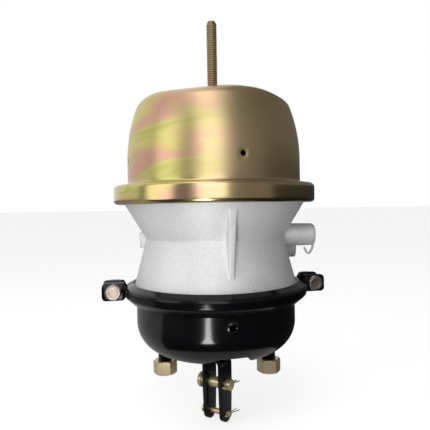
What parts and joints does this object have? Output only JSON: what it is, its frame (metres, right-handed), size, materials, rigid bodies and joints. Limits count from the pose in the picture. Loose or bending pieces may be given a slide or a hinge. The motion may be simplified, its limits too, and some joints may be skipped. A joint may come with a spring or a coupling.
{
  "type": "air brake chamber",
  "caption": "Double-diaphragm spring brake chamber: pressed dome, waisted cast case, clamped cup with mounting studs, clevis below and a drawn release bolt on top.",
  "frame": {"origin": "centre of the two mounting studs, on the mounting face", "axes": "+Z away from the bracket along the push rod, +X along the line of the studs towards the air ports"},
  "size_m": [0.2584, 0.229, 0.4657],
  "materials": {
    "yellow_zinc": "yellow zinc plated pressed steel, iridescent",
    "yellow_zinc_fastener": "yellow zinc plated steel fasteners",
    "cast_aluminium": "as cast, fine grained and matt",
    "gloss_black": "gloss black electrophoretic paint",
    "plain_zinc": "zinc plated",
    "black_spring": "phosphated and painted spring steel",
    "bright_spring": "zinc plated spring wire",
    "pressed_steel": "plain pressed steel",
    "bright_rod": "ground steel",
    "diaphragm_rubber": "fabric reinforced neoprene",
    "nylon": "natural nylon",
    "grey_plastic": "translucent grey polyethylene"
  },
  "bodies": {
    "housing": {"spring_housing": "yellow_zinc", "flange_case": "cast_aluminium", "rod_bushing": "nylon", "rod_seals": "diaphragm_rubber", "power_spring": "black_spring", "spring_diaphragm": "diaphragm_rubber", "adapter_spring": "bright_spring", "service_housing": "gloss_black", "clamp_band_front": "gloss_black", "clamp_band_rear": "gloss_black", "clamp_bolts": "plain_zinc", "clamp_nuts": "plain_zinc", "mounting_studs": "yellow_zinc_fastener", "stud_nuts": "yellow_zinc_fastener", "rod_guide": "nylon", "return_spring": "bright_spring", "caging_washer": "yellow_zinc_fastener", "port_plug": "grey_plastic"},
    "spring_piston": {"spring_plate": "pressed_steel", "caging_bolt": "yellow_zinc_fastener", "rod_plate": "pressed_steel", "adapter_rod": "bright_rod", "rod_foot": "pressed_steel", "foot_screw": "plain_zinc"},
    "release_nut": {"caging_nut": "yellow_zinc_fastener"},
    "service_plate": {"service_diaphragm": "diaphragm_rubber", "push_plate": "gloss_black"},
    "rod": {"push_rod": "gloss_black", "clevis_yoke": "gloss_black"},
    "large_pin": {"clevis_pin": "yellow_zinc_fastener", "clevis_cotter": "yellow_zinc_fastener"},
    "small_pin": {"link_pin": "yellow_zinc_fastener", "link_cotter": "yellow_zinc_fastener"}
  },
  "joints": [
    {"name": "spring_slide", "type": "slide", "parent": "housing", "child": "spring_piston", "axis": [0, 0, -1], "range_m": [0, 0.0635], "deforming": ["power_spring", "spring_diaphragm", "adapter_spring"]},
    {"name": "release_nut_turn", "type": "hinge", "parent": "housing", "child": "release_nut", "pos_m": [0, 0, 0.2945], "axis": [0, 0, 1], "range_deg": [0, 9000.1]},
    {"name": "service_slide", "type": "slide", "parent": "housing", "child": "service_plate", "axis": [0, 0, -1], "range_m": [0, 0.0635], "stiffness_N_per_m": 500, "springref_m": -0.1, "deforming": ["return_spring", "service_diaphragm"]},
    {"name": "push_rod_turn", "type": "hinge", "parent": "service_plate", "child": "rod", "pos_m": [0, 0, 0.05], "axis": [0, 0, 1], "continuous": true},
    {"name": "clevis_pin_turn", "type": "hinge", "parent": "rod", "child": "large_pin", "pos_m": [0, 0, -0.042], "axis": [0.848, -0.5299, 0], "continuous": true},
    {"name": "link_pin_turn", "type": "hinge", "parent": "rod", "child": "small_pin", "pos_m": [0, 0, -0.0757], "axis": [0.848, -0.5299, 0], "continuous": true}
  ],
  "couplings": [
    {"joint": "service_slide", "follows": "spring_slide", "ratio": 1},
    {"joint": "release_nut_turn", "follows": "spring_slide", "rad_per_m": 2473.7}
  ]
}
